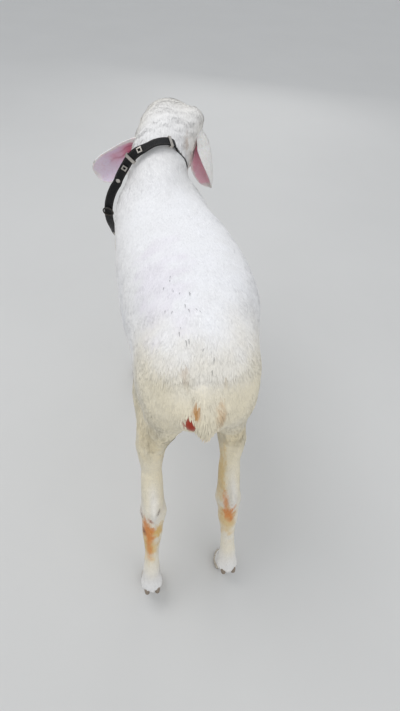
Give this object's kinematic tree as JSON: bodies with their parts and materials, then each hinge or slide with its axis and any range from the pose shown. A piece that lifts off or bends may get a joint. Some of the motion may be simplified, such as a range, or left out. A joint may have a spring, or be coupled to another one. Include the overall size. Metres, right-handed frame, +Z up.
{
  "type": "sheep model",
  "caption": "Standing life-size sheep with short white coat, long hanging ears, short tail, head lowered as if feeding, and a loose studded leather collar.",
  "frame": {"origin": "middle of the bounding box at floor level, under the barrel between the four feet", "axes": "+Z up, +Y from the tail towards the head, +X to the animal's right"},
  "size_m": [0.3254, 0.9786, 0.7995],
  "materials": {
    "coat": "short matt hair, brighter on the back, cream on the rump and legs",
    "ear_skin": "bare pink skin in the hollow, short white hair outside",
    "eye": "wet gloss",
    "hoof": "pale worn horn with dark edges",
    "strap_leather": "worn black",
    "collar_metal": "dull plated steel"
  },
  "bodies": {
    "root": {"trunk": "coat", "neck": "coat", "head": "coat", "tail": "coat", "thigh_left": "coat", "upper_arm_left": "coat", "hind_gaskin_left": "coat", "hind_cannon_left": "coat", "hind_pastern_left": "coat", "fore_forearm_left": "coat", "fore_cannon_left": "coat", "fore_pastern_left": "coat", "thigh_right": "coat", "upper_arm_right": "coat", "hind_gaskin_right": "coat", "hind_cannon_right": "coat", "hind_pastern_right": "coat", "fore_forearm_right": "coat", "fore_cannon_right": "coat", "fore_pastern_right": "coat", "ear_left": "ear_skin", "eye_left": "eye", "ear_right": "ear_skin", "eye_right": "eye", "hind_claw_left_outer": "hoof", "hind_dewclaw_left_outer": "hoof", "hind_claw_left_inner": "hoof", "hind_dewclaw_left_inner": "hoof", "hind_claw_right_outer": "hoof", "hind_dewclaw_right_outer": "hoof", "hind_claw_right_inner": "hoof", "hind_dewclaw_right_inner": "hoof", "fore_claw_left_outer": "hoof", "fore_dewclaw_left_outer": "hoof", "fore_claw_left_inner": "hoof", "fore_dewclaw_left_inner": "hoof", "fore_claw_right_outer": "hoof", "fore_dewclaw_right_outer": "hoof", "fore_claw_right_inner": "hoof", "fore_dewclaw_right_inner": "hoof", "collar_strap": "strap_leather", "collar_buckle": "collar_metal", "collar_tongue": "collar_metal", "collar_slide_1": "collar_metal", "collar_slide_2": "collar_metal", "collar_eyelet_1": "collar_metal", "collar_eyelet_2": "collar_metal", "collar_stud_1": "collar_metal", "collar_stud_2": "collar_metal", "collar_stud_3": "collar_metal", "collar_ring": "collar_metal"}
  },
  "joints": []
}
